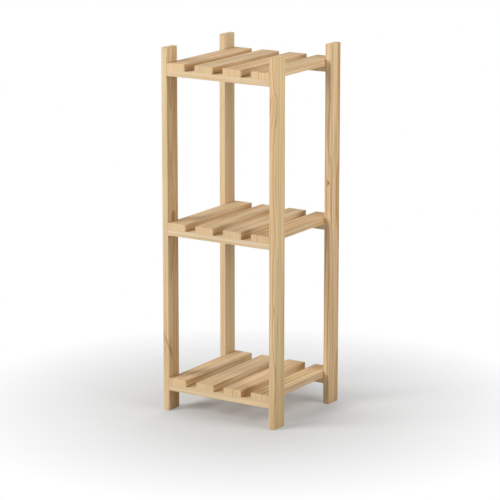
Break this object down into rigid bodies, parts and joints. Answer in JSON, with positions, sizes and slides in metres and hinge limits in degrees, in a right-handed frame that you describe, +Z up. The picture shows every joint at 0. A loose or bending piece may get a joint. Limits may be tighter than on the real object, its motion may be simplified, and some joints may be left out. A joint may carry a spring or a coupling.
{
  "type": "shelving unit",
  "caption": "Tall narrow open shelving unit of planed pine: flat corner posts carry slatted tiers on flat battens, open on every side.",
  "frame": {"origin": "on the floor, under the middle of the unit", "axes": "+Z up, +X along the front to the right as seen from the front, +Y from the front to the back"},
  "size_m": [0.32, 0.3, 0.9],
  "materials": {
    "post_pine": "planed, clear matt",
    "batten_pine": "planed, clear matt",
    "slat_pine": "planed, clear matt",
    "screw_zinc": "yellow zinc plated",
    "dowel_beech": "plain",
    "staple_wire": "galvanised"
  },
  "bodies": {
    "root": {"front_left_post": "post_pine", "front_right_post": "post_pine", "back_left_post": "post_pine", "back_right_post": "post_pine", "shelf_1_front_batten": "batten_pine", "shelf_1_back_batten": "batten_pine", "shelf_2_front_batten": "batten_pine", "shelf_2_back_batten": "batten_pine", "shelf_3_front_batten": "batten_pine", "shelf_3_back_batten": "batten_pine", "shelf_1_slat_1": "slat_pine", "shelf_1_slat_2": "slat_pine", "shelf_1_slat_3": "slat_pine", "shelf_1_slat_4": "slat_pine", "shelf_2_slat_1": "slat_pine", "shelf_2_slat_2": "slat_pine", "shelf_2_slat_3": "slat_pine", "shelf_2_slat_4": "slat_pine", "shelf_3_slat_1": "slat_pine", "shelf_3_slat_2": "slat_pine", "shelf_3_slat_3": "slat_pine", "shelf_3_slat_4": "slat_pine", "shelf_1_frame_screws": "screw_zinc", "shelf_2_frame_screws": "screw_zinc", "shelf_3_frame_screws": "screw_zinc", "shelf_1_dowels": "dowel_beech", "shelf_2_dowels": "dowel_beech", "shelf_3_dowels": "dowel_beech", "shelf_1_staples": "staple_wire", "shelf_2_staples": "staple_wire", "shelf_3_staples": "staple_wire"}
  },
  "joints": []
}
